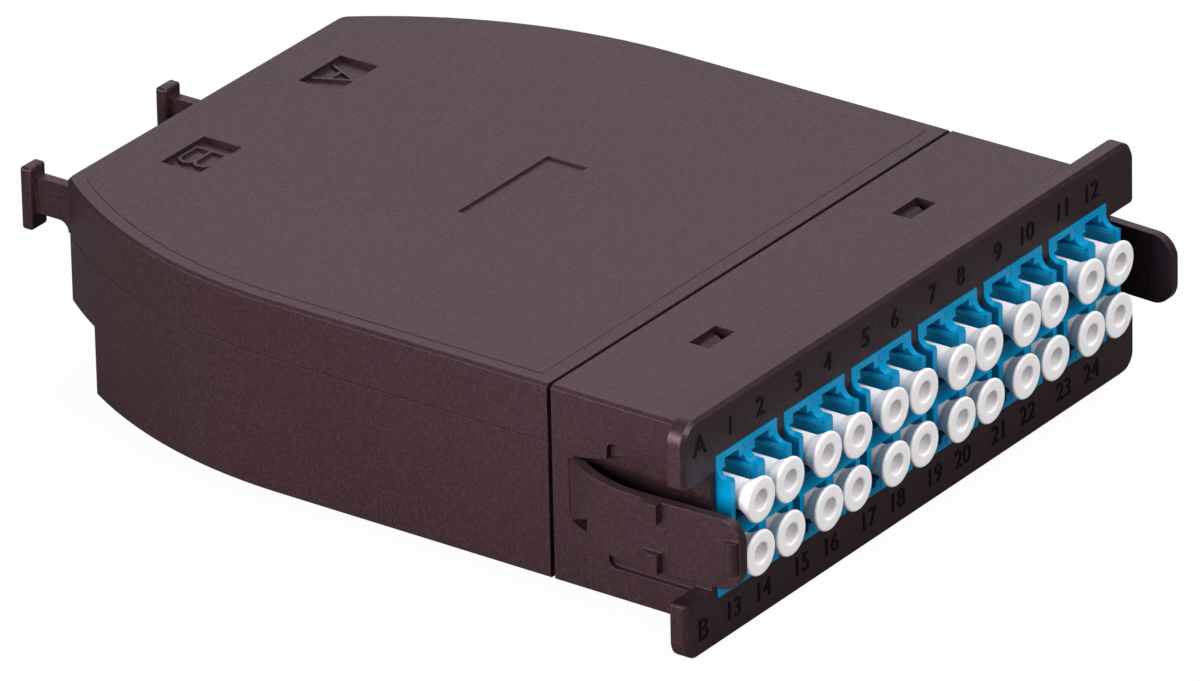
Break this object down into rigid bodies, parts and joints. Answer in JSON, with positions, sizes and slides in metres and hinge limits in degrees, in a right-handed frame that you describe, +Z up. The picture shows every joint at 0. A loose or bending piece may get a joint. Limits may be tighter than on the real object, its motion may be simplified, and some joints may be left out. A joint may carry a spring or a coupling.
{
  "type": "fibre cassette",
  "caption": "Flat moulded fibre cassette: small ports with dust caps on a framed front plate, sprung latches at both ends, tapered rear with multi-fibre ports.",
  "frame": {"origin": "centre of the plane in which the rear face of the face plate bears on a panel", "axes": "+X to the right seen from the front, +Y to the rear, +Z up"},
  "size_m": [0.0982, 0.1226, 0.0318],
  "materials": {
    "case": "satin, finely textured",
    "adapter": "satin",
    "cap": "satin",
    "ceramic": "polished",
    "plug": "satin",
    "mpo": "satin",
    "jacket": "satin"
  },
  "bodies": {
    "case": {"front_housing": "case", "rear_top_cover": "case", "rear_bottom_shell": "case", "lc_adapter_1": "adapter", "sleeve_set_1": "ceramic", "lc_plug_set_1": "plug", "lc_adapter_2": "adapter", "sleeve_set_2": "ceramic", "lc_plug_set_2": "plug", "lc_adapter_3": "adapter", "sleeve_set_3": "ceramic", "lc_plug_set_3": "plug", "lc_adapter_4": "adapter", "sleeve_set_4": "ceramic", "lc_plug_set_4": "plug", "lc_adapter_5": "adapter", "sleeve_set_5": "ceramic", "lc_plug_set_5": "plug", "lc_adapter_6": "adapter", "sleeve_set_6": "ceramic", "lc_plug_set_6": "plug", "dust_cap_01": "cap", "dust_cap_02": "cap", "dust_cap_03": "cap", "dust_cap_04": "cap", "dust_cap_05": "cap", "dust_cap_06": "cap", "dust_cap_07": "cap", "dust_cap_08": "cap", "dust_cap_09": "cap", "dust_cap_10": "cap", "dust_cap_11": "cap", "dust_cap_12": "cap", "dust_cap_13": "cap", "dust_cap_14": "cap", "dust_cap_15": "cap", "dust_cap_16": "cap", "dust_cap_17": "cap", "dust_cap_18": "cap", "dust_cap_19": "cap", "dust_cap_20": "cap", "dust_cap_21": "cap", "dust_cap_22": "cap", "dust_cap_23": "cap", "dust_cap_24": "cap", "mpo_adapter_a": "mpo", "mpo_plug_a": "mpo", "harness_a": "jacket", "mpo_adapter_b": "mpo", "mpo_plug_b": "mpo", "harness_b": "jacket"},
    "latch_left": {"latch_left": "case"},
    "latch_right": {"latch_right": "case"}
  },
  "joints": [
    {"name": "latch_left_release", "type": "hinge", "parent": "case", "child": "latch_left", "pos_m": [-0.0429, 0.01806, 0], "axis": [0, 0, 1], "range_deg": [0, 8], "stiffness_Nm_per_rad": 0.5},
    {"name": "latch_right_release", "type": "hinge", "parent": "case", "child": "latch_right", "pos_m": [0.0429, 0.01806, 0], "axis": [0, 0, -1], "range_deg": [0, 8], "stiffness_Nm_per_rad": 0.5}
  ]
}
